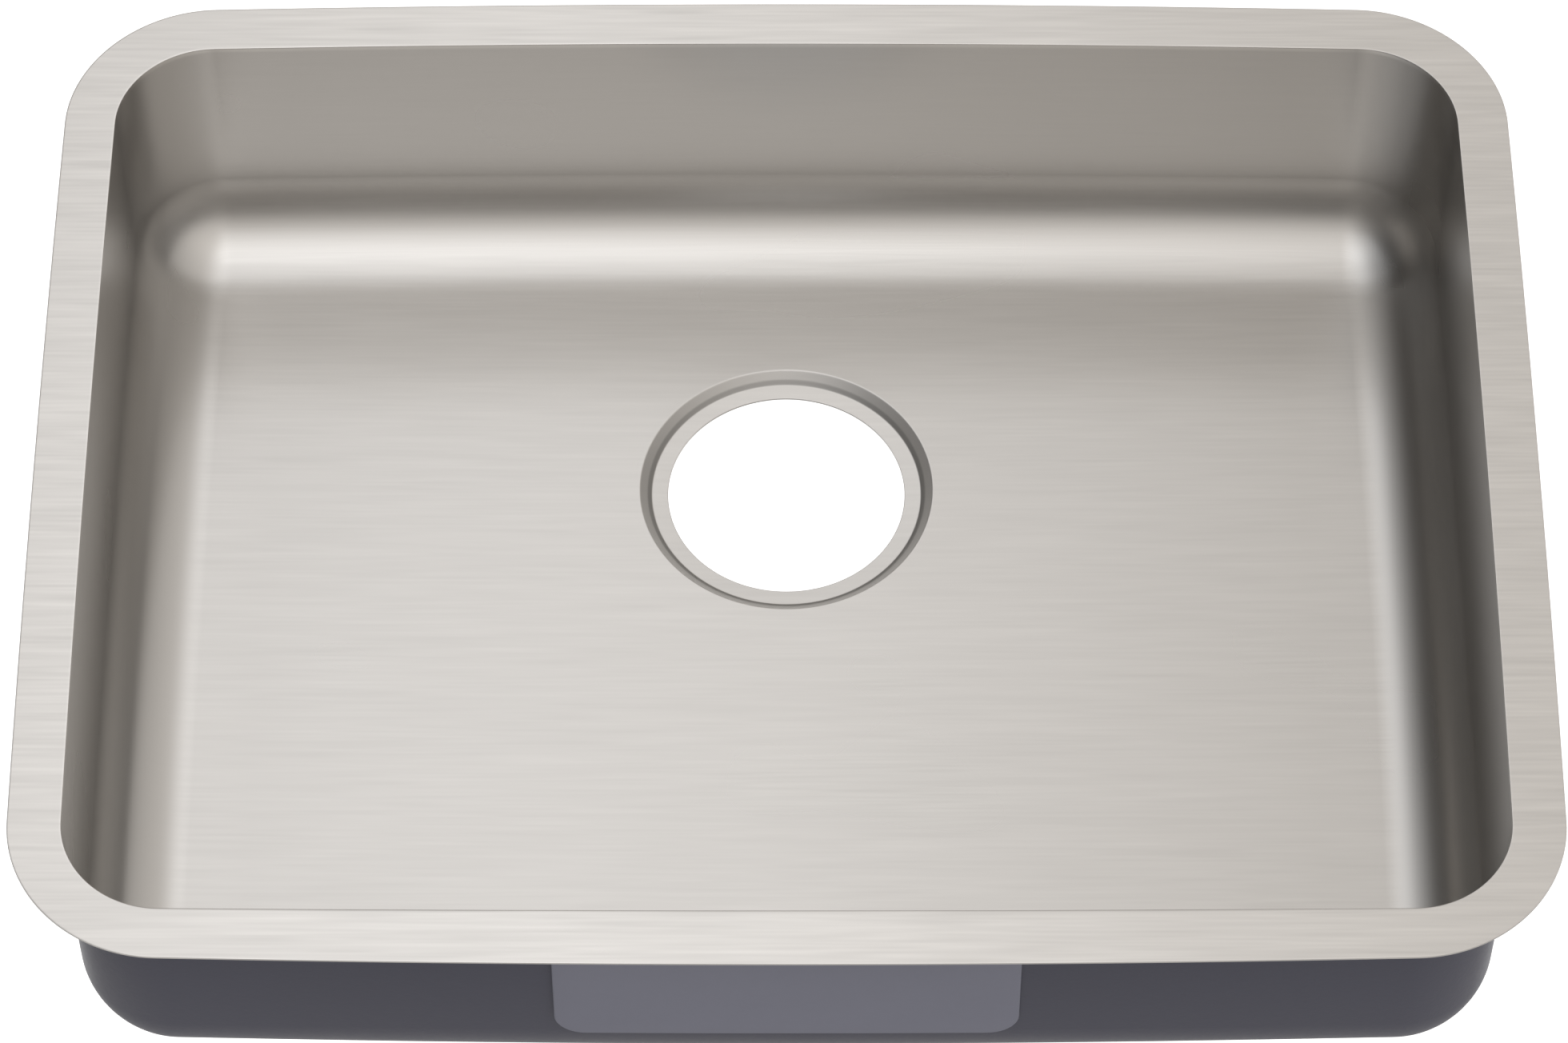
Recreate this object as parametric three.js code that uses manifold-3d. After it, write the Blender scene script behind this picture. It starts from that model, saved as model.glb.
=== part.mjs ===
// An undermount kitchen sink: a bowl, flange and drain recess drawn from one sheet of stainless steel, a
// sprayed sound coating over its outside, and rubber sound pads stuck to the coating. Millimetres, +Z up,
// the front of the sink towards -Y. The origin is the middle of the flange's top face, the plane that is
// bonded to the underside of a worktop, so the bowl hangs below z = 0.
import * as THREE from "three";
import { mergeVertices } from "three/addons/utils/BufferGeometryUtils.js";
import Module from "manifold-3d";

// Bowl and flange, in plan.
const RIM_WIDTH = 584; // over the flange, side to side
const RIM_DEPTH = 457; // over the flange, front to back
const FLANGE = 20; // width of the flange
const BOWL_CORNER = 37.5; // plan radius of the bowl's upright corners
const RIM_SIDE_BOW = 1.8; // how far the left and right edges of the flange bow outwards
const RIM_END_BOW = 4.6; // its front and back edges
const BOWL_SIDE_BOW = 1.5; // the bowl's left and right walls
const BOWL_END_BOW = 3.8; // its front and back walls
const FRONT_LIP_BOW = 1.4; // the front wall again, where it starts at the flange

// Bowl, in section.
const SHEET = 1.5; // steel
const BOWL_DEPTH = 118; // from the flange's top face to the highest corners of the floor
const BEND = 0.5; // radius between the flange's underside and a wall
const FOOT_RADIUS = 34.5; // radius inside the bowl, between a wall and the floor
const DRAFT = THREE.MathUtils.degToRad(0.8); // lean of the walls
const FLOOR_FALL = 2; // how far the floor falls from those corners to the drain

// Drain recess, which takes the flange of a basket strainer.
const DRAIN_SETBACK = 71; // the drain is behind the middle of the sink
const HOLE_RADIUS = 48.5;
const SEAT_WIDTH = 6.5; // the strainer's seat, round the hole
const SEAT_SLOPE = THREE.MathUtils.degToRad(3);
const SEAT_FILLET = 1; // radius between the seat and the wall round it
const RECESS_WALL = 5.3; // width of that wall, its two radii included
const RECESS_SLOPE = THREE.MathUtils.degToRad(45);
const RECESS_EDGE = 1; // radius under the floor, where it turns down into the recess

// Sound coating and sound pads.
const BOND = 0.3; // between each bonded layer and what it sticks to
const COATING = 1;
const COATING_GAP = 3; // bare steel between the flange's bend and the coating
const BARE_RING = 8; // bare steel round the recess, for the drain's gasket
const PAD = 3;
const PAD_BELOW_BEND = 12; // from the flange's bend down to a wall pad
const PAD_ABOVE_FOOT = 1; // from a wall pad down to the foot's radius
const END_PAD_LENGTH = 181; // front and back walls
const SIDE_PAD_LENGTH = 150; // left and right walls
const WALL_PAD_CORNER = 12;
const BASE_PAD_MARGIN = 22; // from the foot of a wall to a pad under the floor
const BASE_PAD_GAP = 12; // from one pad under the floor to the next, and to the bare ring
const BASE_PAD_CORNER = 20;

// Fineness of the surfaces.
const END_STEPS = 8; // along the front edge, and along the back edge
const SIDE_STEPS = 6;
const CORNER_STEPS = 8;
const BEND_STEPS = 3;
const FOOT_STEPS = 7;
const RECESS_STEPS = 3;
const PAD_CORNER_STEPS = 5;

const { lerp } = THREE.MathUtils;

// ---- Section ------------------------------------------------------------------------------------

// Walks along a section, from the outside of the sink inwards. A station is a point of the steel's inner
// face: `run` is how far in it is, `drop` how far down, and `tilt` the slope of the face there.
class Section {
  constructor(drop) {
    this.stations = [{ run: 0, drop, tilt: 0 }];
  }

  get end() {
    return this.stations.at(-1);
  }

  line(length) {
    const { run, drop, tilt } = this.end;
    this.stations.push({ run: run + length * Math.cos(tilt), drop: drop + length * Math.sin(tilt), tilt });
    return this;
  }

  arc(radius, tiltEnd, steps) {
    const { run, drop, tilt } = this.end;
    for (let i = 1; i <= steps; i++) {
      const t = lerp(tilt, tiltEnd, i / steps);
      this.stations.push({
        run: run + radius * Math.abs(Math.sin(t) - Math.sin(tilt)),
        drop: drop + radius * Math.abs(Math.cos(t) - Math.cos(tilt)),
        tilt: t,
      });
    }
    return this;
  }
}

// The same station on a face that lies `distance` outside the steel's inner face.
function outside(station, distance) {
  return {
    ...station,
    run: station.run - distance * Math.sin(station.tilt),
    drop: station.drop + distance * Math.cos(station.tilt),
  };
}

// Flange, bend, wall and foot.
const bendRadius = BEND + SHEET;
const wallTilt = Math.PI / 2 - DRAFT;
const wallDrop = BOWL_DEPTH - (bendRadius + FOOT_RADIUS) * (1 - Math.sin(DRAFT));
const wallSection = new Section(0)
  .line(FLANGE - bendRadius)
  .arc(bendRadius, wallTilt, BEND_STEPS)
  .line(COATING_GAP)
  .line(wallDrop / Math.cos(DRAFT) - COATING_GAP)
  .arc(FOOT_RADIUS, 0, FOOT_STEPS).stations;

const bendEnd = wallSection[BEND_STEPS + 1];
const coatingTop = BEND_STEPS + 2;
const wallEnd = wallSection[BEND_STEPS + 3];
const foot = wallSection.at(-1);

// Bare ring, recess and strainer seat. Here `run` counts inwards from the bare ring's edge.
const ringRadius = HOLE_RADIUS + SEAT_WIDTH + RECESS_WALL + BARE_RING;
const edgeRadius = RECESS_EDGE + SHEET;
const edgeWidth = edgeRadius * Math.sin(RECESS_SLOPE);
const filletWidth = SEAT_FILLET * (Math.sin(RECESS_SLOPE) - Math.sin(SEAT_SLOPE));
const drainSection = new Section(BOWL_DEPTH + FLOOR_FALL)
  .line(BARE_RING)
  .arc(edgeRadius, RECESS_SLOPE, RECESS_STEPS)
  .line((RECESS_WALL - edgeWidth - filletWidth) / Math.cos(RECESS_SLOPE))
  .arc(SEAT_FILLET, SEAT_SLOPE, 1)
  .line(SEAT_WIDTH / Math.cos(SEAT_SLOPE)).stations;

// ---- Plan ---------------------------------------------------------------------------------------

const rimBow = { side: RIM_SIDE_BOW, back: RIM_END_BOW, front: RIM_END_BOW };
const bowlBow = { side: BOWL_SIDE_BOW, back: BOWL_END_BOW, front: BOWL_END_BOW };
const lipBow = { ...bowlBow, front: FRONT_LIP_BOW };

function mixBow(from, to, share) {
  return {
    side: lerp(from.side, to.side, share),
    back: lerp(from.back, to.back, share),
    front: lerp(from.front, to.front, share),
  };
}

// How far the four edges bow outwards at a station: as the rim on the flange, as the lip at the top of
// the wall, and as the bowl at its foot.
function bowAt(station) {
  if (station.drop > bendEnd.drop) {
    const share = (station.drop - bendEnd.drop) / (foot.drop - bendEnd.drop);
    return mixBow(lipBow, bowlBow, Math.min(share, 1));
  }
  const flat = mixBow(rimBow, bowlBow, Math.min(station.run / FLANGE, 1));
  return mixBow(flat, lipBow, Math.sin(station.tilt));
}

// Half sizes of the plain rectangle, before its edges bow out, at a distance in from the rim.
function halfSizes(run) {
  return { x: RIM_WIDTH / 2 - RIM_SIDE_BOW - run, y: RIM_DEPTH / 2 - RIM_END_BOW - run };
}

// How far the floor has fallen at a point of the plan: it is a shallow cone round the drain.
function fallAt(x, y) {
  const corner = halfSizes(foot.run);
  const farthest = Math.hypot(corner.x, corner.y + DRAIN_SETBACK);
  const reach = Math.hypot(x, y - DRAIN_SETBACK);
  return FLOOR_FALL * Math.max((farthest - reach) / (farthest - ringRadius), 0);
}

// Stations that this many points share are joined into a surface.
const LOOP_POINTS = 2 * (END_STEPS + SIDE_STEPS) + 4 * CORNER_STEPS;

// A closed loop of points at one station: a rounded rectangle with bowed edges, running clockwise from the
// left end of the back edge, as seen from above. `distance` is how far it lies outside the inner face. The
// foot of the walls follows the fall of the floor, and the lip doesn't.
function wallLoop(station, distance) {
  const { run, drop } = outside(station, distance);
  const half = halfSizes(run);
  const bow = bowAt(station);
  const sunk = Math.max(station.drop - bendEnd.drop, 0) / (foot.drop - bendEnd.drop);
  const corner = Math.max(BOWL_CORNER + FLANGE - run, SHEET);
  const inner = { x: half.x - corner, y: half.y - corner };
  const loop = [];
  const put = (plainX, plainY) => {
    const u = plainX / half.x;
    const v = plainY / half.y;
    const x = plainX + bow.side * u * (1 - v * v);
    const y = plainY + (v > 0 ? bow.back : bow.front) * v * (1 - u * u);
    loop.push(new THREE.Vector3(x, y, -drop - sunk * fallAt(x, y)));
  };
  const putEdge = (x0, y0, x1, y1, steps) => {
    for (let i = 0; i < steps; i++) put(lerp(x0, x1, i / steps), lerp(y0, y1, i / steps));
  };
  const putCorner = (x, y, angle) => {
    for (let i = 0; i < CORNER_STEPS; i++) {
      const a = angle - ((Math.PI / 2) * i) / CORNER_STEPS;
      put(x + corner * Math.cos(a), y + corner * Math.sin(a));
    }
  };
  putEdge(-inner.x, half.y, inner.x, half.y, END_STEPS);
  putCorner(inner.x, inner.y, Math.PI / 2);
  putEdge(half.x, inner.y, half.x, -inner.y, SIDE_STEPS);
  putCorner(inner.x, -inner.y, 0);
  putEdge(inner.x, -half.y, -inner.x, -half.y, END_STEPS);
  putCorner(-inner.x, -inner.y, -Math.PI / 2);
  putEdge(-half.x, -inner.y, -half.x, inner.y, SIDE_STEPS);
  putCorner(-inner.x, inner.y, -Math.PI);
  return loop;
}

// The same for the round stations. Its points match those of a wall loop one for one.
function drainLoop(station, distance) {
  const { run, drop } = outside(station, distance);
  return Array.from({ length: LOOP_POINTS }, (_, i) => {
    const a = Math.PI / 2 - (2 * Math.PI * (i - END_STEPS / 2)) / LOOP_POINTS;
    const y = DRAIN_SETBACK + (ringRadius - run) * Math.sin(a);
    return new THREE.Vector3((ringRadius - run) * Math.cos(a), y, -drop);
  });
}

// ---- Solids -------------------------------------------------------------------------------------

function geometryOf(points, triangles) {
  const geometry = new THREE.BufferGeometry().setFromPoints(points);
  geometry.setIndex(triangles);
  geometry.computeVertexNormals();
  return geometry;
}

// A layer that follows the sink's inner face from one wall station in to a drain station. Its two faces lie
// `near` and `far` outside that face. Both are lofted through matching loops, and the floor is the loft from
// the foot of the walls to the bare ring.
function layer(near, far, wallStations, drainStations) {
  const face = (distance) => [
    ...wallStations.map((station) => wallLoop(station, distance)),
    ...drainStations.map((station) => drainLoop(station, distance)),
  ];
  const nearLoops = face(near);
  const loops = [...nearLoops, ...face(far).toReversed()];
  const triangles = [];
  loops.forEach((_, j) => {
    const here = j * LOOP_POINTS;
    const next = ((j + 1) % loops.length) * LOOP_POINTS;
    for (let i = 0; i < LOOP_POINTS; i++) {
      const k = (i + 1) % LOOP_POINTS;
      // Squares on the far face split along the same diagonal as those on the near one.
      if (j < nearLoops.length - 1) {
        triangles.push(here + i, next + k, here + k, here + i, next + i, next + k);
      } else {
        triangles.push(here + i, next + i, here + k, here + k, next + i, next + k);
      }
    }
  });
  return geometryOf(loops.flat(), triangles);
}

const wasm = await Module();
wasm.setup();

function toSolid(geometry) {
  const bare = geometry.clone();
  bare.deleteAttribute("normal");
  bare.deleteAttribute("uv");
  const merged = mergeVertices(bare);
  const vertProperties = new Float32Array(merged.attributes.position.array);
  const triVerts = new Uint32Array(merged.index.array);
  return new wasm.Manifold(new wasm.Mesh({ numProp: 3, vertProperties, triVerts }));
}

function toGeometry(solid) {
  const { vertProperties, triVerts } = solid.getMesh();
  const geometry = new THREE.BufferGeometry();
  geometry.setAttribute("position", new THREE.BufferAttribute(vertProperties, 3));
  geometry.setIndex(new THREE.BufferAttribute(triVerts, 1));
  geometry.computeVertexNormals();
  return geometry;
}

// A prism on a rounded rectangle, from the XY plane up.
function cutter(x0, x1, y0, y1, corner) {
  const shape = new THREE.Shape();
  const r = Math.min(corner, (x1 - x0) / 2, (y1 - y0) / 2);
  shape.moveTo(x0 + r, y0);
  shape.lineTo(x1 - r, y0);
  shape.absarc(x1 - r, y0 + r, r, -Math.PI / 2, 0);
  shape.lineTo(x1, y1 - r);
  shape.absarc(x1 - r, y1 - r, r, 0, Math.PI / 2);
  shape.lineTo(x0 + r, y1);
  shape.absarc(x0 + r, y1 - r, r, Math.PI / 2, Math.PI);
  shape.lineTo(x0, y0 + r);
  shape.absarc(x0 + r, y0 + r, r, Math.PI, (3 * Math.PI) / 2);
  const depth = RIM_WIDTH;
  return new THREE.ExtrudeGeometry(shape, { depth, bevelEnabled: false, curveSegments: PAD_CORNER_STEPS });
}

// ---- Assembly -----------------------------------------------------------------------------------

const steel = new THREE.MeshStandardMaterial({ color: 0xcfcbc6, roughness: 0.32, metalness: 1 });
const coating = new THREE.MeshStandardMaterial({ color: 0x4b4b54, roughness: 0.75, metalness: 0 });
const rubber = new THREE.MeshStandardMaterial({ color: 0x6e6e77, roughness: 0.8, metalness: 0 });

const sink = new THREE.Group();

function add(name, geometry, material) {
  const mesh = new THREE.Mesh(geometry, material);
  mesh.name = name;
  sink.add(mesh);
}

add("sink_bowl", layer(0, SHEET, wallSection, drainSection), steel);

const coatedWall = wallSection.slice(coatingTop);
const coatedFloor = drainSection.slice(0, 1);
const coatingNear = SHEET + BOND;
const coatingFar = coatingNear + COATING;
add("sound_coating", layer(coatingNear, coatingFar, coatedWall, coatedFloor), coating);

// Every pad is cut out of one layer of rubber that follows the coating.
const padNear = coatingFar + BOND;
const padLayer = toSolid(layer(padNear, padNear + PAD, coatedWall, coatedFloor));

function addPad(name, blade) {
  add(name, toGeometry(padLayer.intersect(toSolid(blade))), rubber);
}

// Wall pads are cut outwards from the middle of the sink: a quarter turn brings the blade from the XY plane
// to the front wall, and `turn` brings it round to the others.
function addWallPad(name, length, turn) {
  const top = -bendEnd.drop - PAD_BELOW_BEND;
  const bottom = -wallEnd.drop + PAD_ABOVE_FOOT;
  const blade = cutter(-length / 2, length / 2, bottom, top, WALL_PAD_CORNER);
  addPad(name, blade.rotateX(Math.PI / 2).rotateZ(turn));
}

addWallPad("front_pad", END_PAD_LENGTH, 0);
addWallPad("right_pad", SIDE_PAD_LENGTH, Math.PI / 2);
addWallPad("rear_pad", END_PAD_LENGTH, Math.PI);
addWallPad("left_pad", SIDE_PAD_LENGTH, -Math.PI / 2);

// Pads under the floor: one in front of the drain, and one on each side of it.
function addBasePad(name, x0, x1, y0, y1) {
  const blade = cutter(x0, x1, y0, y1, BASE_PAD_CORNER);
  addPad(name, blade.translate(0, 0, -RIM_WIDTH));
}

const base = halfSizes(foot.run + BASE_PAD_MARGIN);
const drainClear = ringRadius + BASE_PAD_GAP;
const frontPadEdge = DRAIN_SETBACK - drainClear;
const sidePadEdge = frontPadEdge + BASE_PAD_GAP;
addBasePad("base_pad_front", -base.x, base.x, -base.y, frontPadEdge);
addBasePad("base_pad_left", -base.x, -drainClear, sidePadEdge, base.y);
addBasePad("base_pad_right", drainClear, base.x, sidePadEdge, base.y);

export default sink;
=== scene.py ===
from math import cos, hypot, pi, radians, sin, sqrt, tan

import bmesh
import bpy
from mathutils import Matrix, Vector


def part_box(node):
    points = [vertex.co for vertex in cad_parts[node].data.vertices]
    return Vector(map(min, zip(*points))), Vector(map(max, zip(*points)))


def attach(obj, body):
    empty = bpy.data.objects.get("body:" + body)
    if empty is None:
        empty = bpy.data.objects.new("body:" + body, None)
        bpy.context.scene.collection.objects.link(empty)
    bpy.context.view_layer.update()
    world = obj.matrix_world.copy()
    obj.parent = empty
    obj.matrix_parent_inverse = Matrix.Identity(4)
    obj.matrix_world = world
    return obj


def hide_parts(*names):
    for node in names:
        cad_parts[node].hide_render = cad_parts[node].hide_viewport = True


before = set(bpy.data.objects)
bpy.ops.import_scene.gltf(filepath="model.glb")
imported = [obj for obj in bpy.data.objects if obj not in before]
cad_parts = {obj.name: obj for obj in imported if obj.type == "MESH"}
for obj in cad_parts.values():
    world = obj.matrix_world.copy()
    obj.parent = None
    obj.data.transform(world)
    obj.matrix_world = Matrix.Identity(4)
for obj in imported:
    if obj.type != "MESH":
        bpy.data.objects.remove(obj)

bl_info = {
    "name": "Undermount Kitchen Sink",
    "version": (1, 0, 0),
    "blender": (4, 5, 0),
    "location": "View3D > Sidebar > Sink",
    "description": "Models and finishes an undermount sink round its engineering solids",
    "category": "Object",
}

MM = 0.001
SENSOR_WIDTH = 36  # millimetres
RIM_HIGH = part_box("sink_bowl")[1]
TOLERANCE = MM / 4  # between points that count as one place
SHARP_EDGE = 50  # degrees; an edge between two faces that meet at more than this gets rounded
SMOOTH_ANGLE = 35  # degrees; an edge between two faces that meet at more than this stays sharp
LAMP_WATTS = 4  # per square metre, for a lamp of strength 1
LAMP_TINT = (0.965, 1.0, 1.05)
# Each lamp's low and high corner in plan in metres, and its strength.
LAMPS = {
    "long_lamp": ((-0.8, -1.2), (0.5, 2.0), 0.37),
    "wide_lamp": ((-2.0, -2.0), (0.4, 2.0), 0.2),
    "front_lamp": ((-0.8, -2.2), (0.5, 0.2), 0.26),
    "corner_lamp": ((-1.6, -2.2), (-0.2, 0.2), 0.135),
}
# Lamps that cross hang at different heights, because at one height a reflection finds only one of them.
LAMP_STEP = 0.02


# ---- Sizes and colours -----------------------------------------------------------------------------


def length(label, text, millimetres):
    return bpy.props.FloatProperty(
        name=label, description=text, default=millimetres * MM, unit="LENGTH", subtype="DISTANCE"
    )


def angle(label, text, value):
    return bpy.props.FloatProperty(
        name=label, description=text, default=radians(value), unit="ROTATION", subtype="ANGLE"
    )


def number(label, text, value):
    return bpy.props.FloatProperty(
        name=label, description=text, default=value, min=0, max=1, subtype="FACTOR"
    )


def steps(label, text, value):
    return bpy.props.IntProperty(name=label, description=text, default=value, min=1, max=64)


def colour(label, text, value):
    return bpy.props.FloatVectorProperty(
        name=label, description=text, default=value, min=0, max=1, size=3, subtype="COLOR"
    )


class BowlShape(bpy.types.PropertyGroup):
    """The bowl and its flange, drawn from one sheet"""

    sheet: length("Sheet", "Thickness of the steel", 1)
    flange: length("Flange", "Width of the flange", 20)
    depth: length("Depth", "From the flange's top face to the highest corners of the floor", 118)
    corner: length("Corner", "Plan radius of the bowl's upright corners", 37.5)
    edge: length("Edge", "Rounding of the sheet's cut edges", 0.2)
    bend: length("Bend", "Radius between the flange's top face and a wall", 0.3)
    foot: length("Foot radius", "Radius between a wall and the floor", 34.5)
    draft: angle("Draft", "Lean of the walls", 0.8)
    fall: length("Floor fall", "How far the floor falls from those corners to the drain", 2)
    rim_side_bow: length("Rim side bow", "How far the flange's side edges bow outwards", 1.8)
    rim_end_bow: length("Rim end bow", "How far its front and back edges bow outwards", 4.6)
    side_bow: length("Side wall bow", "How far the side walls bow outwards", 1.5)
    end_bow: length("End wall bow", "How far the front and back walls bow outwards", 3.8)
    lip_bow: length("Front lip bow", "Bow of the front wall where it meets the flange", 1.4)
    guard: length("Guard", "From a bend to the loop that keeps the face beside it flat", 0.6)
    corner_steps: steps("Corner steps", "Segments round a corner", 32)
    end_steps: steps("End steps", "Segments along the front and the back edge", 32)
    side_steps: steps("Side steps", "Segments along each side edge", 24)
    foot_steps: steps("Foot steps", "Segments round the foot of the walls", 20)
    bend_steps: steps("Bend steps", "Segments round the bend", 5)
    floor_steps: steps("Floor steps", "Loops across the floor", 6)


class DrainShape(bpy.types.PropertyGroup):
    """The recess for a basket strainer"""

    setback: length("Setback", "How far the drain is behind the middle of the sink", 71)
    hole: length("Hole radius", "Radius of the drain hole", 48.5)
    seat: length("Seat width", "Width of the strainer's seat", 6.5)
    seat_slope: angle("Seat slope", "Slope of the strainer's seat", 3)
    wall: length("Recess wall", "Width of the wall round the seat, its radii included", 5.3)
    wall_slope: angle("Recess slope", "Slope of that wall", 40)
    edge: length("Edge radius", "Radius where the floor turns down into the recess", 1)
    fillet: length("Seat radius", "Radius between the wall and the seat", 1)
    ring: length("Bare ring", "Flat ring round the recess", 8)
    turn_steps: steps("Turn steps", "Segments round each of the recess's radii", 5)


class CoverShape(bpy.types.PropertyGroup):
    """The sound coating and the pads on it"""

    bond: length("Bond", "Between each bonded layer and what it sticks to", 0.05)
    coating: length("Coating", "Thickness of the coating", 0.4)
    pad: length("Wall pad", "Thickness of a pad on a wall", 2.2)
    base_pad: length("Base pad", "Thickness of a pad under the floor", 4.55)
    pad_trim: length("Pad trim", "How much of each end of a wall pad's solid is cut away", 2.5)
    wall_pad_corner: length("Wall pad corner", "Corner radius of the pads on the walls", 12)
    base_pad_corner: length("Base pad corner", "Corner radius of the pads under the floor", 20)
    pad_edge: length("Pad edge", "Rounding of a pad's outer edge", 0.7)
    pad_grid: length("Pad grid", "Size of the squares that let a pad follow a bowed wall", 9)
    reach: length("Reach", "How far a pad is moved at most to lie on the coating", 30)


class StageSetup(bpy.types.PropertyGroup):
    """Camera, floor and light"""

    lens: bpy.props.FloatProperty(
        name="Lens", description="Focal length of the camera", default=145.14, unit="CAMERA"
    )
    camera_place: bpy.props.FloatVectorProperty(
        name="Camera", description="Where the camera stands", default=(-0.00096, -1.4282, 1.9955),
        size=3, unit="LENGTH", subtype="TRANSLATION", precision=5,
    )
    camera_dip: angle("Camera dip", "How far the camera looks down", 54.98)
    floor: colour("Floor", "Colour of the floor", (0.62, 0.62, 0.62))
    floor_glow: number("Floor glow", "Brightness that the seen floor behind the sink gets on top", 0.9)
    floor_size: length("Floor size", "Length of each side of the floor", 30000)
    floor_drop: length("Floor drop", "How far the floor is below the flange", 900)
    lamp_height: length("Lamp height", "Height of the lamps over the flange", 1200)
    room: number("Room", "Light from the right and the back", 0.365)
    room_top: number("Room top", "Light that is added overhead", 0.473)
    room_front: number("Room front", "Light that is added in front", 0.243)
    room_dark: number("Room left", "Light from the left", 0.083)
    room_tint: colour("Room tint", "Colour of the room's light", (1.0, 0.96, 0.915))


class Finish(bpy.types.PropertyGroup):
    """Colours and gloss, with the painted highlight and shade on the steel"""

    steel: colour("Steel", "Colour of the brushed steel", (0.573, 0.558, 0.539))
    steel_roughness: number("Steel roughness", "Roughness between the grain's streaks", 0.28)
    grain: number("Grain", "How deep the brushed grain is", 0.5)
    # Painted highlight: how much lighter the flange's colour is made than the floor's, for the brighter
    # light it reflects.
    rim_painted_highlight: number("Rim painted highlight", "How much lighter the brushed flange is than the floor", 0.1)
    # Painted highlight: the floor behind the drain is made lighter, for the brighter light it reflects.
    rear_painted_highlight: number("Rear painted highlight", "How much lighter the floor is behind the drain", 0.07)
    bend_roughness: number("Bend roughness", "Roughness added where the sheet is bent", 0.08)
    recess_roughness: number("Recess roughness", "Roughness added on the recess's slope", 0.24)
    # Painted shade: how much darker the walls' colour is made than the floor's, for the darker light
    # they reflect.
    wall_painted_shade: number("Wall painted shade", "How much darker the drawn walls are than the floor", 0.15)
    # Painted shade: the recess's slope is made darker, for the shade in the recess.
    recess_painted_shade: number("Recess painted shade", "How much darker the pressed recess is than the floor", 0.04)
    # Painted shade: the foot of the recess's slope is made darker still, for the deeper shade there.
    step_painted_shade: number("Step painted shade", "How much darker still the foot of the recess is", 0.3)
    coating: colour("Coating", "Colour of the sprayed sound coating", (0.06, 0.062, 0.094))
    pad: colour("Pads", "Colour of the rubber pads", (0.235, 0.243, 0.31))


# ---- Modelling helpers -----------------------------------------------------------------------------


def deselect():
    bpy.ops.object.select_all(action="DESELECT")


def pick_object(piece):
    deselect()
    piece.select_set(True)
    bpy.context.view_layer.objects.active = piece


def is_sharp(edge):
    return edge.calc_face_angle(0) > radians(SHARP_EDGE)


def pick(piece, kind, test):
    """Selects the edges, faces or vertices of the mesh in edit mode that pass the test."""
    mesh = bmesh.from_edit_mesh(piece.data)
    bpy.ops.mesh.select_all(action="DESELECT")
    bpy.ops.mesh.select_mode(type=kind)
    found = {"VERT": mesh.verts, "EDGE": mesh.edges, "FACE": mesh.faces}[kind]
    for part in found:
        part.select_set(bool(test(part)))
    bmesh.update_edit_mesh(piece.data)


def middle(edge):
    return (edge.verts[0].co + edge.verts[1].co) / 2


def edit(piece):
    pick_object(piece)
    bpy.ops.object.mode_set(mode="EDIT")


def leave_edit():
    bpy.ops.object.mode_set(mode="OBJECT")


def modify(piece, kind, **settings):
    """Adds a modifier and applies it."""
    pick_object(piece)
    modifier = piece.modifiers.new(kind.title(), kind)
    for name, value in settings.items():
        setattr(modifier, name, value)
    bpy.ops.object.modifier_apply(modifier=modifier.name)


def smooth(piece):
    pick_object(piece)
    bpy.ops.object.shade_smooth_by_angle(angle=radians(SMOOTH_ANGLE))


def discard(piece):
    mesh = piece.data
    bpy.data.objects.remove(piece)
    bpy.data.meshes.remove(mesh)


def finish_piece(piece, slot, material, *nodes):
    piece.data.materials.clear()
    piece.data.materials.append(material)
    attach(piece, "root")
    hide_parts(*nodes)


# ---- The sheet's inner face ------------------------------------------------------------------------


def half_rim(shape):
    """Half the flange's width and depth, before its edges bow out."""
    return Vector((RIM_HIGH.x - shape.rim_side_bow, RIM_HIGH.y - shape.rim_end_bow))


def run_in(shape, x, y):
    """How far a point in plan lies in from the plain outline of the flange."""
    half = half_rim(shape)
    radius = shape.corner + shape.flange
    over_x = abs(x) - (half.x - radius)
    over_y = abs(y) - (half.y - radius)
    outside = hypot(max(over_x, 0), max(over_y, 0)) + min(max(over_x, over_y), 0)
    return radius - outside


def mix(low, high, share):
    return low + (high - low) * min(max(share, 0), 1)


def bows(shape, run, drop):
    """How far the side, back and front edges bow outwards at a station of the section."""
    rim = (shape.rim_side_bow, shape.rim_end_bow, shape.rim_end_bow)
    bowl = (shape.side_bow, shape.end_bow, shape.end_bow)
    lip = (shape.side_bow, shape.end_bow, shape.lip_bow)
    if drop > shape.bend:
        share = (drop - shape.bend) / (shape.depth - shape.bend)
        return [mix(a, b, share) for a, b in zip(lip, bowl)]
    turned = sqrt(1 - (1 - min(max(drop / shape.bend, 0), 1)) ** 2)
    flat = [mix(a, b, run / shape.flange) for a, b in zip(rim, bowl)]
    return [mix(a, b, turned) for a, b in zip(flat, lip)]


def fall_at(shape, drain, x, y):
    """How far the floor, a shallow cone round the drain, has fallen at a point of the plan."""
    foot = shape.flange + shape.depth * tan(shape.draft) + shape.foot * foot_tangent(shape)
    corner = half_rim(shape) - Vector((foot, foot))
    farthest = hypot(corner.x, corner.y + drain.setback)
    reach = hypot(x, y - drain.setback)
    return shape.fall * max((farthest - reach) / (farthest - ring_radius(drain)), 0)


def foot_tangent(shape):
    """Tangent length of a wall's bends for a radius of one."""
    return tan(pi / 4 - shape.draft / 2)


def bow_and_sink(shape, drain, point):
    """Bows the plain bowl's edges outwards and lets the foot of its walls follow the floor's fall."""
    run = run_in(shape, point.x, point.y)
    side, back, front = bows(shape, run, -point.z)
    half = half_rim(shape) - Vector((run, run))
    u = point.x / half.x
    v = point.y / half.y
    point.x += side * u * (1 - v * v)
    point.y += (back if v > 0 else front) * v * (1 - u * u)
    sunk = max(-point.z - shape.bend, 0) / (shape.depth - shape.bend)
    point.z -= sunk * fall_at(shape, drain, point.x, point.y)


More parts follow.
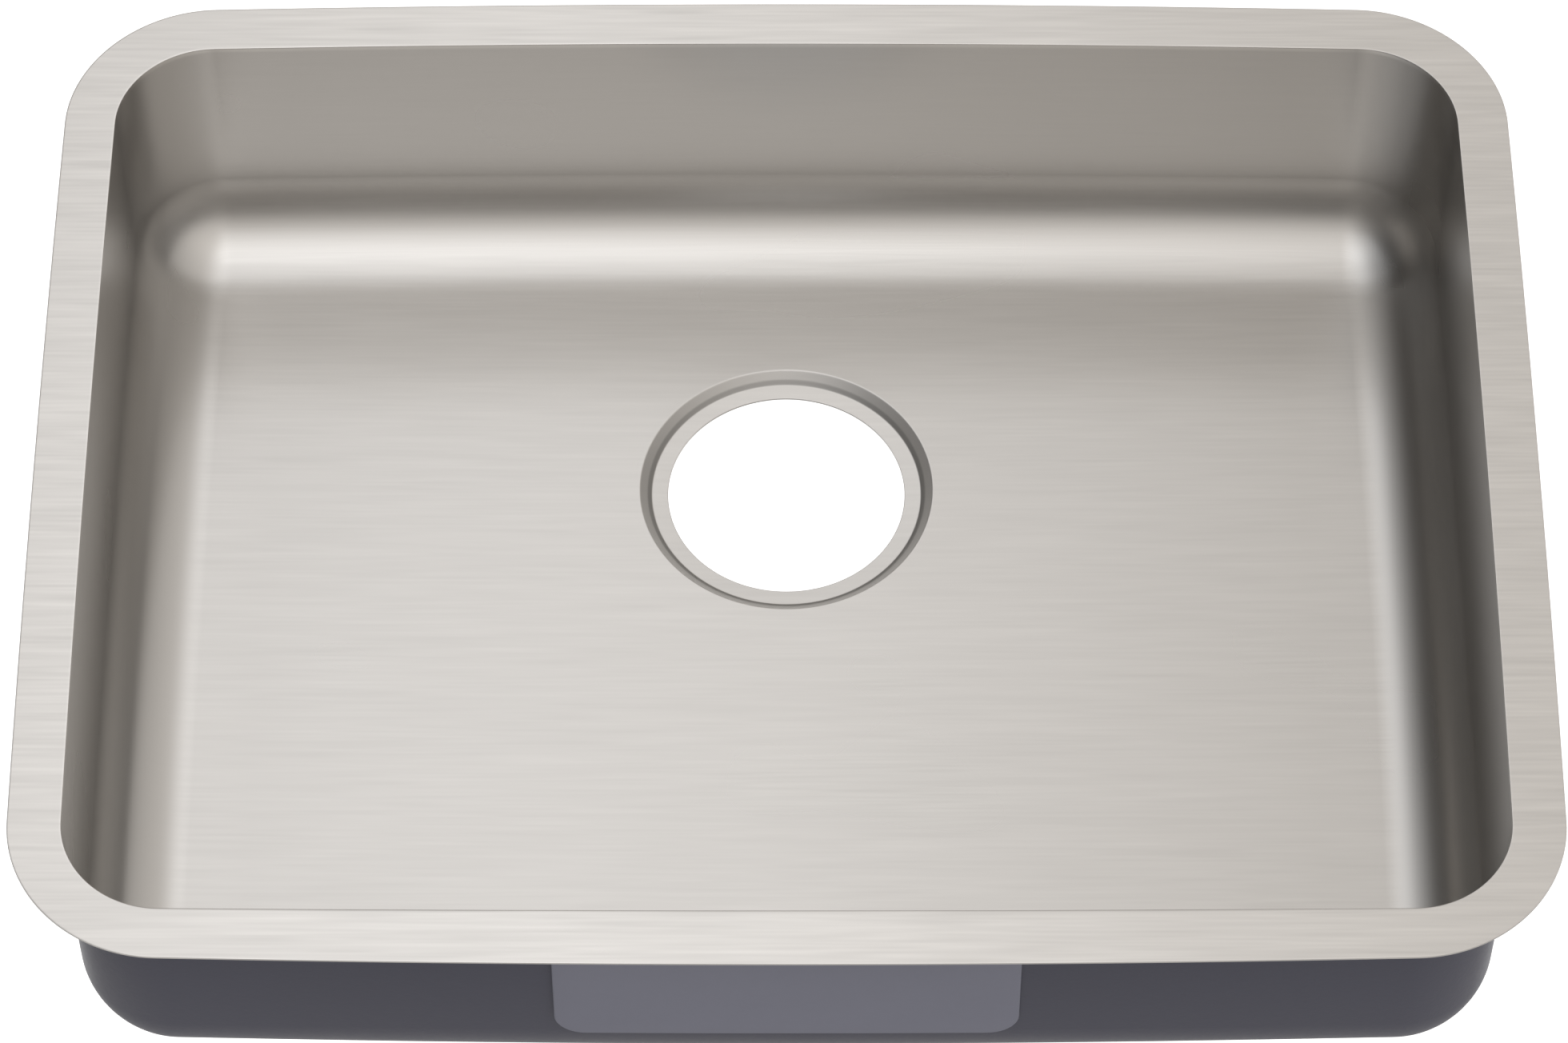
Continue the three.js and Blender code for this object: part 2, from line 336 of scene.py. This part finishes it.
def flange_outline(shape):
    """The flange's plain outline: a rectangle with round corners, its long edges divided."""
    deselect()
    bpy.ops.mesh.primitive_plane_add(size=2)
    piece = bpy.context.object
    bpy.ops.object.mode_set(mode="EDIT")
    half = half_rim(shape)
    bpy.ops.transform.resize(value=(half.x, half.y, 1))
    bpy.ops.mesh.bevel(
        affect="VERTICES", offset=shape.corner + shape.flange, segments=shape.corner_steps
    )
    bpy.ops.mesh.select_mode(type="FACE")
    bpy.ops.mesh.select_all(action="SELECT")
    bpy.ops.mesh.delete(type="ONLY_FACE")
    for axis, cuts in ((0, shape.end_steps), (1, shape.side_steps)):
        long_edge = half[axis]
        pick(piece, "EDGE", lambda e: abs(e.verts[0].co[axis] - e.verts[1].co[axis]) > long_edge)
        bpy.ops.mesh.subdivide(number_cuts=cuts - 1)
    bpy.ops.mesh.select_all(action="SELECT")
    bpy.ops.mesh.edge_face_add()
    if bmesh.from_edit_mesh(piece.data).faces[:][0].normal.z < 0:
        bpy.ops.mesh.flip_normals()
    return piece


def sink_walls(piece, shape, drain):
    """Flange, walls and floor by insets, with the bend and the foot bevelled round."""
    bend = shape.bend * foot_tangent(shape)
    foot = shape.foot * foot_tangent(shape)
    lean = tan(shape.draft)
    # The loops beside each bend keep the flat faces flat under smooth shading.
    loops = [
        (shape.guard, 0),
        (shape.flange - bend - shape.guard, 0),
        (shape.flange, 0),
        (shape.flange + (bend + shape.guard) * lean, bend + shape.guard),
        (shape.flange + (shape.depth - foot - shape.guard) * lean, shape.depth - foot - shape.guard),
        (shape.flange + shape.depth * lean, shape.depth),
    ]
    last_run, last_drop = 0, 0
    for run, drop in loops:
        bpy.ops.mesh.inset(thickness=run - last_run, depth=last_drop - drop)
        last_run, last_drop = run, drop
    pick(piece, "EDGE", lambda e: abs(middle(e).z + shape.depth) < MM)
    bpy.ops.mesh.bevel(offset=foot, segments=shape.foot_steps, profile=0.5)
    pick(piece, "EDGE", lambda e: is_lip(shape, e))
    bpy.ops.mesh.bevel(offset=bend, segments=shape.bend_steps, profile=0.5)
    for vertex in bmesh.from_edit_mesh(piece.data).verts:
        bow_and_sink(shape, drain, vertex.co)
    bmesh.update_edit_mesh(piece.data)


def is_lip(shape, edge):
    """Whether an edge is on the loop where the flange meets the walls."""
    return all(
        abs(v.co.z) < TOLERANCE
        and abs(run_in(shape, v.co.x, v.co.y) - shape.flange) < TOLERANCE
        for v in edge.verts
    )


def open_floor(piece, shape, drain):
    """The floor, from the foot of the walls to the bare ring round the drain."""
    floor = -shape.depth
    # The one face with many corners is what the insets left in the middle.
    pick(piece, "FACE", lambda f: len(f.verts) > 8)
    bpy.ops.mesh.delete(type="ONLY_FACE")
    count = 4 * shape.corner_steps + 2 * (shape.end_steps + shape.side_steps)
    ring = ring_radius(drain)
    bpy.ops.mesh.select_mode(type="VERT")
    bpy.ops.mesh.primitive_circle_add(
        vertices=count, radius=ring, location=(0, drain.setback, floor - shape.fall)
    )
    pick(piece, "EDGE", lambda e: (e.is_boundary or e.is_wire) and middle(e).z < floor / 2)
    bpy.ops.mesh.bridge_edge_loops(number_cuts=shape.floor_steps, interpolation="LINEAR")


def ring_radius(drain):
    return drain.hole + drain.seat + drain.wall + drain.ring


def recess_stations(drain):
    """The recess from its edge to the hole, as radius and drop below the bare ring."""
    edge_width = drain.edge * sin(drain.wall_slope)
    fillet_width = drain.fillet * (sin(drain.wall_slope) - sin(drain.seat_slope))
    slope_width = drain.wall - edge_width - fillet_width
    guard = slope_width / 12
    radius, drop = drain.hole + drain.seat + drain.wall, 0
    stations = [(radius + guard, 0), (radius, 0)]
    for i in range(1, drain.turn_steps + 1):
        turned = drain.wall_slope * i / drain.turn_steps
        stations.append((radius - drain.edge * sin(turned), drain.edge * (1 - cos(turned))))
    radius, drop = stations[-1]
    for width in (guard, slope_width - guard, slope_width):
        stations.append((radius - width, drop + width * tan(drain.wall_slope)))
    radius, drop = stations[-1]
    for i in range(1, drain.turn_steps + 1):
        turned = mix(drain.wall_slope, drain.seat_slope, i / drain.turn_steps)
        across = drain.fillet * (sin(drain.wall_slope) - sin(turned))
        down = drain.fillet * (cos(turned) - cos(drain.wall_slope))
        stations.append((radius - across, drop + down))
    radius, drop = stations[-1]
    for width in (guard, drain.seat - guard, drain.seat):
        stations.append((radius - width, drop + width * tan(drain.seat_slope)))
    return stations


def sink_recess(piece, shape, drain):
    """Recess and seat, extruded from the bare ring station by station."""
    axis = Vector((0, drain.setback, 0))
    level = -shape.depth - shape.fall
    radius, drop = ring_radius(drain), 0
    pick(
        piece,
        "EDGE",
        lambda e: e.is_boundary
        and abs(middle(e).z - level) < TOLERANCE
        and abs((middle(e) - axis).xy.length - radius) < TOLERANCE,
    )
    for next_radius, next_drop in recess_stations(drain):
        bpy.ops.mesh.extrude_edges_move(
            TRANSFORM_OT_translate={"value": (0, 0, drop - next_drop)}
        )
        scale = next_radius / radius
        bpy.ops.transform.resize(value=(scale, scale, 1), center_override=axis)
        radius, drop = next_radius, next_drop


def soften(piece, width, test):
    """Rounds the sharp edges that pass the test."""
    edit(piece)
    pick(piece, "EDGE", lambda e: is_sharp(e) and test(middle(e)))
    bpy.ops.mesh.bevel(offset=width, segments=2)
    leave_edit()


def inner_face(shape, drain):
    """The face of the sheet that is seen from above, as an open surface."""
    piece = flange_outline(shape)
    sink_walls(piece, shape, drain)
    open_floor(piece, shape, drain)
    sink_recess(piece, shape, drain)
    bpy.ops.mesh.select_all(action="SELECT")
    bpy.ops.mesh.normals_make_consistent(inside=False)
    if sum(f.normal.z for f in bmesh.from_edit_mesh(piece.data).faces) < 0:
        bpy.ops.mesh.flip_normals()
    leave_edit()
    return piece


# ---- Pieces ----------------------------------------------------------------------------------------


class SINK_OT_bowl(bpy.types.Operator):
    """Models the bowl, flange and drain recess from one sheet of brushed steel"""

    bl_idname = "sink.bowl"
    bl_label = "Sink Bowl"

    def execute(self, context):
        shape = context.scene.sink_bowl
        drain = context.scene.sink_drain
        piece = inner_face(shape, drain)
        piece.name = piece.data.name = "drawn_bowl"
        modify(piece, "SOLIDIFY", thickness=shape.sheet, offset=-1, use_even_offset=True)
        axis = Vector((0, drain.setback, 0))
        soften(piece, shape.edge, lambda p: (p - axis).xy.length < drain.hole + MM)
        soften(piece, shape.edge, lambda p: p.z > -2 * shape.sheet and run_in(shape, p.x, p.y) < MM)
        smooth(piece)
        steel = brushed_steel(shape, drain, context.scene.sink_finish)
        finish_piece(piece, "brushed_steel", steel, "sink_bowl")
        return {"FINISHED"}


class SINK_OT_coating(bpy.types.Operator):
    """Models the sound coating that is sprayed over the outside of the bowl"""

    bl_idname = "sink.coating"
    bl_label = "Sound Coating"

    def execute(self, context):
        shape = context.scene.sink_bowl
        drain = context.scene.sink_drain
        cover = context.scene.sink_cover
        piece = inner_face(shape, drain)
        piece.name = piece.data.name = "sprayed_coating"
        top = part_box("sound_coating")[1].z
        axis = Vector((0, drain.setback, 0))
        edit(piece)
        bpy.ops.mesh.select_all(action="SELECT")
        bpy.ops.mesh.bisect(plane_co=(0, 0, top), plane_no=(0, 0, 1), clear_outer=True)
        pick(
            piece,
            "FACE",
            lambda f: (f.calc_center_median() - axis).xy.length < ring_radius(drain) - TOLERANCE,
        )
        bpy.ops.mesh.delete(type="FACE")
        leave_edit()
        seat = shape.sheet + cover.bond
        modify(
            piece,
            "SOLIDIFY",
            thickness=cover.coating,
            offset=-1 - 2 * seat / cover.coating,
            use_even_offset=True,
        )
        soften(piece, cover.coating / 3, lambda p: True)
        smooth(piece)
        material = sprayed_coating(context.scene.sink_finish)
        finish_piece(piece, "sound_coating", material, "sound_coating")
        return {"FINISHED"}


# Each pad's name in the frame, the axis it faces along and which way.
PADS = {
    "front_pad": (1, -1),
    "rear_pad": (1, 1),
    "left_pad": (0, -1),
    "right_pad": (0, 1),
    "base_pad_front": (2, -1),
    "base_pad_left": (2, -1),
    "base_pad_right": (2, -1),
}
FACING = {
    (0, -1): (pi / 2, 0, -pi / 2),
    (0, 1): (pi / 2, 0, pi / 2),
    (1, -1): (pi / 2, 0, 0),
    (1, 1): (pi / 2, 0, pi),
    (2, -1): (pi, 0, 0),
}


class SINK_OT_pads(bpy.types.Operator):
    """Models the rubber pads that are stuck to the coating"""

    bl_idname = "sink.pads"
    bl_label = "Sound Pads"

    def execute(self, context):
        cover = context.scene.sink_cover
        surface = inner_face(context.scene.sink_bowl, context.scene.sink_drain)
        material = pad_rubber(context.scene.sink_finish)
        seat = context.scene.sink_bowl.sheet + cover.coating + 2 * cover.bond
        for node, (axis, way) in PADS.items():
            piece = flat_pad(node, axis, way, cover)
            lay_on(piece, surface, axis, seat, cover.reach)
            thickness = cover.base_pad if axis == 2 else cover.pad
            modify(piece, "SOLIDIFY", thickness=thickness, offset=1, use_even_offset=True)
            round_outer_edge(piece, axis, way, cover.pad_edge)
            smooth(piece)
            finish_piece(piece, "pad_rubber", material, node)
        discard(surface)
        return {"FINISHED"}


def flat_pad(node, axis, way, cover):
    """A flat sheet of the pad's outline, divided so that it can follow the bowed wall."""
    low, high = (box_corner.copy() for box_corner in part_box(node))
    corner = cover.base_pad_corner
    if axis < 2:
        corner = cover.wall_pad_corner
        # A wall pad's length runs along the other level axis.
        low[1 - axis] += cover.pad_trim
        high[1 - axis] -= cover.pad_trim
    centre = (low + high) / 2
    half = (high - low) / 2
    deselect()
    bpy.ops.mesh.primitive_plane_add(size=2, location=centre, rotation=FACING[axis, way])
    piece = bpy.context.object
    piece.name = piece.data.name = "sound_" + node
    piece.scale = {0: (half.y, half.z, 1), 1: (half.x, half.z, 1), 2: (half.x, half.y, 1)}[axis]
    bpy.ops.object.transform_apply(location=True, rotation=True, scale=True)
    bpy.ops.object.mode_set(mode="EDIT")
    bpy.ops.mesh.select_all(action="SELECT")
    bpy.ops.mesh.bevel(affect="VERTICES", offset=corner, segments=10)
    for across in {0, 1, 2} - {axis}:
        cuts = round(2 * half[across] / cover.pad_grid)
        normal = [float(i == across) for i in range(3)]
        for cut in range(1, cuts):
            place = centre.copy()
            place[across] = low[across] + (high[across] - low[across]) * cut / cuts
            bpy.ops.mesh.select_all(action="SELECT")
            bpy.ops.mesh.bisect(plane_co=place, plane_no=normal)
    leave_edit()
    return piece


def lay_on(piece, surface, axis, height, reach):
    """Moves the sheet onto the bowl's outside, the given height off the steel's inner face."""
    settings = {"use_project_" + name: i == axis for i, name in enumerate("xyz")}
    modify(
        piece,
        "SHRINKWRAP",
        target=surface,
        wrap_method="PROJECT",
        use_negative_direction=True,
        use_positive_direction=True,
        project_limit=reach,
        wrap_mode="ABOVE_SURFACE",
        offset=-height,
        **settings,
    )


def round_outer_edge(piece, axis, way, radius):
    """Rounds the edge between a pad's outer face and its sides."""
    edit(piece)
    pick(
        piece,
        "EDGE",
        lambda e: is_sharp(e) and any(f.normal[axis] * way > 0.7 for f in e.link_faces),
    )
    bpy.ops.mesh.bevel(offset=radius, segments=3)
    leave_edit()


# ---- Materials -------------------------------------------------------------------------------------


class Signal:
    """A node's output; arithmetic on it adds Math nodes."""

    def __init__(self, paint, socket):
        self.paint = paint
        self.socket = socket

    def math(self, operation, *values):
        return self.paint.node("ShaderNodeMath", {"operation": operation}, dict(enumerate(values)))

    def __add__(self, other):
        return self.math("ADD", self, other)

    def __mul__(self, other):
        return self.math("MULTIPLY", self, other)

    def __sub__(self, other):
        return self.math("SUBTRACT", self, other)

    def __rsub__(self, other):
        return self.math("SUBTRACT", other, self)

    def __abs__(self):
        return self.math("ABSOLUTE", self)

    def __radd__(self, other):
        return self.math("ADD", self, other)

    def __rmul__(self, other):
        return self.math("MULTIPLY", self, other)


class Nodes:
    """A shader's node tree; every node that isn't a Math node comes from its node method."""

    def __init__(self, tree):
        self.nodes = tree.nodes
        self.links = tree.links

    def feed(self, node, socket, value):
        if isinstance(value, Signal):
            self.links.new(value.socket, node.inputs[socket])
        else:
            node.inputs[socket].default_value = value

    def node(self, kind, settings=None, inputs=None, output=0):
        """Adds a node of any kind: its settings first, then its sockets' values or links."""
        made = self.nodes.new(kind)
        for name, value in (settings or {}).items():
            setattr(made, name, value)
        for socket, value in (inputs or {}).items():
            self.feed(made, socket, value)
        return Signal(self, made.outputs[output])

    def split(self, vector):
        parts = self.node("ShaderNodeSeparateXYZ", inputs={0: vector}).socket.node.outputs
        return [Signal(self, part) for part in parts]

    def ramp(self, value, low, high):
        """Rises smoothly from 0 to 1 as the value goes from low to high."""
        return self.node(
            "ShaderNodeMapRange",
            {"interpolation_type": "SMOOTHSTEP"},
            {"Value": value, "From Min": low, "From Max": high},
        )

    def noise(self, place, stretch, detail=2):
        """Noise of about -0.5 to 0.5; stretch is how many of its blobs fit in a metre each way."""
        scaled = self.node("ShaderNodeVectorMath", {"operation": "MULTIPLY"}, {0: place, 1: stretch})
        settings = {"Vector": scaled, "Scale": 1, "Detail": detail}
        return self.node("ShaderNodeTexNoise", inputs=settings) - 0.5


class Paint(Nodes):
    """A procedural material that is being built on one Principled shader."""

    def __init__(self, name, metallic, roughness):
        self.material = bpy.data.materials.new(name)
        self.material.use_nodes = True
        super().__init__(self.material.node_tree)
        self.surface = self.nodes["Principled BSDF"]
        self.feed(self.surface, "Metallic", metallic)
        self.feed(self.surface, "Roughness", roughness)
        self.place = self.node("ShaderNodeTexCoord", output="Object")
        self.facing = self.node("ShaderNodeTexCoord", output="Normal")

    def tones(self, dark, light, share):
        """The colour between two tones."""
        self.links.new(
            self.node(
                "ShaderNodeMix",
                {"data_type": "RGBA"},
                {"Factor": share, "A": (*dark, 1), "B": (*light, 1)},
                output="Result",
            ).socket,
            self.surface.inputs["Base Color"],
        )

    def recess_masks(self, shape, drain):
        """1 on the slope of the drain recess, and 1 on the slope's foot, beside the strainer's seat."""
        middle_point = (0, drain.setback, -shape.depth - shape.fall)
        reach = self.node(
            "ShaderNodeVectorMath",
            {"operation": "DISTANCE"},
            {0: self.place, 1: middle_point},
            output="Value",
        )
        seat = drain.hole + drain.seat
        start = self.ramp(reach, seat, seat + drain.wall / 10)
        ends = [
            self.ramp(reach, seat + drain.wall * end, seat + drain.wall * (end - 0.15))
            for end in (1, 0.45)
        ]
        return [start * end for end in ends]

    def bent(self, facing):
        """1 where the surface has turned away from facing across an axis, but not yet along it."""
        return self.ramp(abs(facing), 0.05, 0.3) * self.ramp(abs(facing), 0.75, 0.5)

    def relief(self, height, depth):
        """Bump of the given depth where the height is 1."""
        bump = self.node("ShaderNodeBump", inputs={"Height": height, "Distance": depth, "Strength": 1})
        self.feed(self.surface, "Normal", bump)


def shade(colour, factor):
    return [min(channel * factor, 1) for channel in colour]


def brushed_steel(shape, drain, finish):
    """Stainless steel, brushed along the bowl's length with a fine and slightly wavy grain."""
    paint = Paint("satin_steel", metallic=1, roughness=finish.steel_roughness)
    x, y, z = paint.split(paint.place)
    facing_x, facing_y, facing_z = paint.split(paint.facing)

    # Where each kind of surface is, from 0 to 1. A side wall gets 0.7 of a wall's painted shade.
    top = paint.ramp(z, -3 * MM, -1 * MM)
    rim = paint.ramp(abs(facing_z), 0.2, 0.6) * top
    level = paint.ramp(abs(facing_z), 0.5, 0.9)
    side = paint.ramp(abs(facing_x), 0.5, 0.9)
    upright = paint.ramp(abs(facing_z), 0.5, 0.1) * (1 - top)
    walls = upright * (0.7 + 0.3 * abs(facing_y))
    bent = (paint.bent(facing_z) + upright * paint.bent(facing_x)) * (1 - top)
    turned_in = paint.ramp(abs(facing_x), 0.05, 0.25) * 0.85
    # Where the painted highlight on the floor behind the drain goes.
    behind_drain = paint.ramp(y, drain.setback + 10 * MM, drain.setback + 60 * MM)
    rear = behind_drain * paint.ramp(facing_z, 0.97, 1) * (1 - top)
    recess, step = paint.recess_masks(shape, drain)

    # The grain runs from side to side, and on the side walls from front to back.
    wave = paint.noise(paint.place, (5, 5, 5), detail=1)
    along = x + (y - x) * side
    across = z + (y - z) * level + wave * (0.6 * MM)
    lane = paint.node("ShaderNodeCombineXYZ", inputs={0: along, 1: across, 2: level})
    fine = paint.noise(lane, (30, 900, 0.5), detail=0)
    broad = paint.noise(lane, (20, 330, 0.5), detail=1)
    mark = paint.ramp(paint.noise(lane, (14, 240, 0.5), detail=1), 0.12, 0.3)
    cloud = paint.noise(paint.place, (7, 9, 9), detail=1)
    grain = fine * 0.6 + broad * 0.7
    strength = (0.45 + 0.55 * rim) * (1 - upright * 0.7) * (1 - turned_in)

    streaks = grain * (0.5 * finish.grain) - mark * (0.08 * finish.grain)
    # Painted shade: the walls, the recess's slope and its foot are made darker.
    painted_darkening = walls * finish.wall_painted_shade + recess * finish.recess_painted_shade + step * finish.step_painted_shade
    # Painted highlight: the flange and the floor behind the drain are made lighter.
    light = rim * finish.rim_painted_highlight + rear * finish.rear_painted_highlight
    tone = 1 + streaks * strength + cloud * 0.05 + light - painted_darkening
    # The tone is the steel's lightness with its painted highlight and shade, mixed from a dark and a
    # light steel that are 1 apart.
    darkest = 0.25
    dark, light_steel = shade(finish.steel, darkest), shade(finish.steel, 1 + darkest)
    paint.tones(dark, light_steel, tone - darkest)
    # The grain's relief is a micron deep. Deeper relief, or grain in the gloss, comes out patchy.
    paint.relief(grain, 0.001 * MM)
    roughness = finish.steel_roughness + cloud * 0.04
    roughness += recess * finish.recess_roughness + bent * finish.bend_roughness
    paint.feed(paint.surface, "Roughness", roughness)
    return paint.material


def sprayed_coating(finish):
    """Slate grey sound coating with the fine orange peel of a sprayed coat."""
    roughness = 0.42
    paint = Paint("slate_coating", metallic=0, roughness=roughness)
    peel = paint.noise(paint.place, (420, 420, 420), detail=3)
    speck = paint.noise(paint.place, (1500, 1500, 1500), detail=1)
    cloud = paint.noise(paint.place, (9, 9, 14))
    tone = 0.5 + peel * 0.4 + cloud * 0.6 + speck * 0.3
    paint.tones(shade(finish.coating, 0.86), shade(finish.coating, 1.14), tone)
    paint.feed(paint.surface, "Roughness", roughness + cloud * 0.1 + peel * 0.1)
    paint.relief(peel + speck * 0.4, 0.06 * MM)
    return paint.material


def pad_rubber(finish):
    """Grey rubber sheet with a faint mottle and a matt moulded skin."""
    roughness = 0.62
    paint = Paint("grey_rubber", metallic=0, roughness=roughness)
    mottle = paint.noise(paint.place, (260, 260, 260), detail=4)
    skin = paint.noise(paint.place, (2200, 2200, 2200), detail=1)
    cloud = paint.noise(paint.place, (12, 12, 20))
    tone = 0.5 + mottle * 0.4 + cloud * 0.5 + skin * 0.2
    paint.tones(shade(finish.pad, 0.9), shade(finish.pad, 1.1), tone)
    paint.feed(paint.surface, "Roughness", roughness + mottle * 0.12)
    paint.relief(mottle * 0.5 + skin * 0.5, 0.03 * MM)
    return paint.material


# ---- Stage -----------------------------------------------------------------------------------------


def studio_camera(scene, stage):
    data = bpy.data.cameras.new("camera")
    data.sensor_width = SENSOR_WIDTH
    data.lens = stage.lens
    camera = bpy.data.objects.new("camera", data)
    camera.location = stage.camera_place
    camera.rotation_euler = (pi / 2 - stage.camera_dip, 0, 0)
    scene.collection.objects.link(camera)
    scene.camera = camera


def soft_lamp(scene, name, low, high, height, glow):
    """A flat lamp that hangs level over the sink, shines down and fades out towards its edges."""
    data = bpy.data.lights.new(name, "AREA")
    data.shape = "RECTANGLE"
    data.size = high[0] - low[0]
    data.size_y = high[1] - low[1]
    data.energy = glow * LAMP_WATTS * data.size * data.size_y
    data.color = LAMP_TINT
    data.use_nodes = True
    cloth = Nodes(data.node_tree)
    across, along, _ = cloth.split(cloth.node("ShaderNodeNewGeometry", output="Parametric"))
    fade = (
        cloth.ramp(across, 0, 0.5)
        * cloth.ramp(across, 1, 0.5)
        * cloth.ramp(along, 0, 0.3)
        * cloth.ramp(along, 1, 0.7)
    )
    cloth.feed(cloth.nodes["Emission"], "Strength", fade)
    lamp = bpy.data.objects.new(name, data)
    lamp.location = ((low[0] + high[0]) / 2, (low[1] + high[1]) / 2, height)
    scene.collection.objects.link(lamp)


def studio_walls(scene, stage):
    """The room's light: darker on the left, brighter in front and overhead."""
    world = bpy.data.worlds.new("studio")
    world.use_nodes = True
    scene.world = world
    sky = Nodes(world.node_tree)
    x, y, z = sky.split(sky.node("ShaderNodeTexCoord", output="Generated"))
    side = sky.ramp(x, -0.85, 0.1)
    front = sky.ramp(y, 0.0, -0.7)
    level = stage.room_dark + side * (stage.room + z * stage.room_top + front * stage.room_front)
    background = world.node_tree.nodes["Background"]
    sky.feed(background, "Color", (*stage.room_tint, 1))
    sky.feed(background, "Strength", level)


def floor_paint(stage):
    """Pale matt floor. What the camera and reflections see of it behind the sink is near white,
    and from below it can be seen through."""
    material = bpy.data.materials.new("studio_floor")
    material.use_nodes = True
    paint = Nodes(material.node_tree)
    paint.nodes.remove(paint.nodes["Principled BSDF"])
    y = paint.split(paint.node("ShaderNodeTexCoord", output="Object"))[1]
    ray = paint.node("ShaderNodeLightPath").socket.node.outputs
    kinds = ("Is Camera Ray", "Is Glossy Ray", "Is Transmission Ray")
    seen = sum(Signal(paint, ray[kind]) for kind in kinds)
    shown = 0.25 + 0.75 * paint.ramp(y, -0.05, 0.25)
    glow = shown * paint.node("ShaderNodeMath", {"operation": "MINIMUM"}, {0: seen, 1: 1})
    matt = paint.node("ShaderNodeBsdfDiffuse", inputs={"Color": (*stage.floor, 1)})
    strength = glow * stage.floor_glow
    light = paint.node("ShaderNodeEmission", inputs={"Color": (1, 1, 1, 1), "Strength": strength})
    top = paint.node("ShaderNodeAddShader", inputs={0: matt, 1: light})
    back = paint.node("ShaderNodeNewGeometry", output="Backfacing")
    clear = paint.node("ShaderNodeBsdfTransparent")
    both = paint.node("ShaderNodeMixShader", inputs={0: back, 1: top, 2: clear})
    paint.links.new(both.socket, paint.nodes["Material Output"].inputs["Surface"])
    return material


class SINK_OT_stage(bpy.types.Operator):
    """Adds the floor, the light and the camera"""

    bl_idname = "sink.stage"
    bl_label = "Stage"

    def execute(self, context):
        scene = context.scene
        stage = scene.sink_stage
        scene.view_settings.view_transform = "Standard"
        studio_camera(scene, stage)
        studio_walls(scene, stage)
        for i, (name, (low, high, glow)) in enumerate(LAMPS.items()):
            soft_lamp(scene, name, low, high, stage.lamp_height + i * LAMP_STEP, glow)
        deselect()
        bpy.ops.mesh.primitive_plane_add(size=stage.floor_size, location=(0, 0, -stage.floor_drop))
        floor = bpy.context.object
        floor.name = floor.data.name = "studio_floor"
        bpy.ops.object.transform_apply(location=True, rotation=False, scale=False)
        floor.data.materials.append(floor_paint(stage))
        return {"FINISHED"}


class SINK_PT_panel(bpy.types.Panel):
    """Lists the sink's pieces"""

    bl_idname = "SINK_PT_panel"
    bl_label = "Undermount Sink"
    bl_space_type = "VIEW_3D"
    bl_region_type = "UI"
    bl_category = "Sink"

    def draw(self, context):
        for operator in OPERATORS:
            self.layout.operator(operator.bl_idname)


GROUPS = {
    "sink_bowl": BowlShape,
    "sink_drain": DrainShape,
    "sink_cover": CoverShape,
    "sink_stage": StageSetup,
    "sink_finish": Finish,
}
OPERATORS = (SINK_OT_bowl, SINK_OT_coating, SINK_OT_pads, SINK_OT_stage)


def register():
    for cls in (*GROUPS.values(), *OPERATORS, SINK_PT_panel):
        bpy.utils.register_class(cls)
    for name, group in GROUPS.items():
        setattr(bpy.types.Scene, name, bpy.props.PointerProperty(type=group))


def unregister():
    for name in GROUPS:
        delattr(bpy.types.Scene, name)
    for cls in reversed((*GROUPS.values(), *OPERATORS, SINK_PT_panel)):
        bpy.utils.unregister_class(cls)


def main():
    register()
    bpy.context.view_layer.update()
    bpy.ops.sink.bowl()
    bpy.ops.sink.coating()
    bpy.ops.sink.pads()
    bpy.ops.sink.stage()


if __name__ == "__main__":
    main()
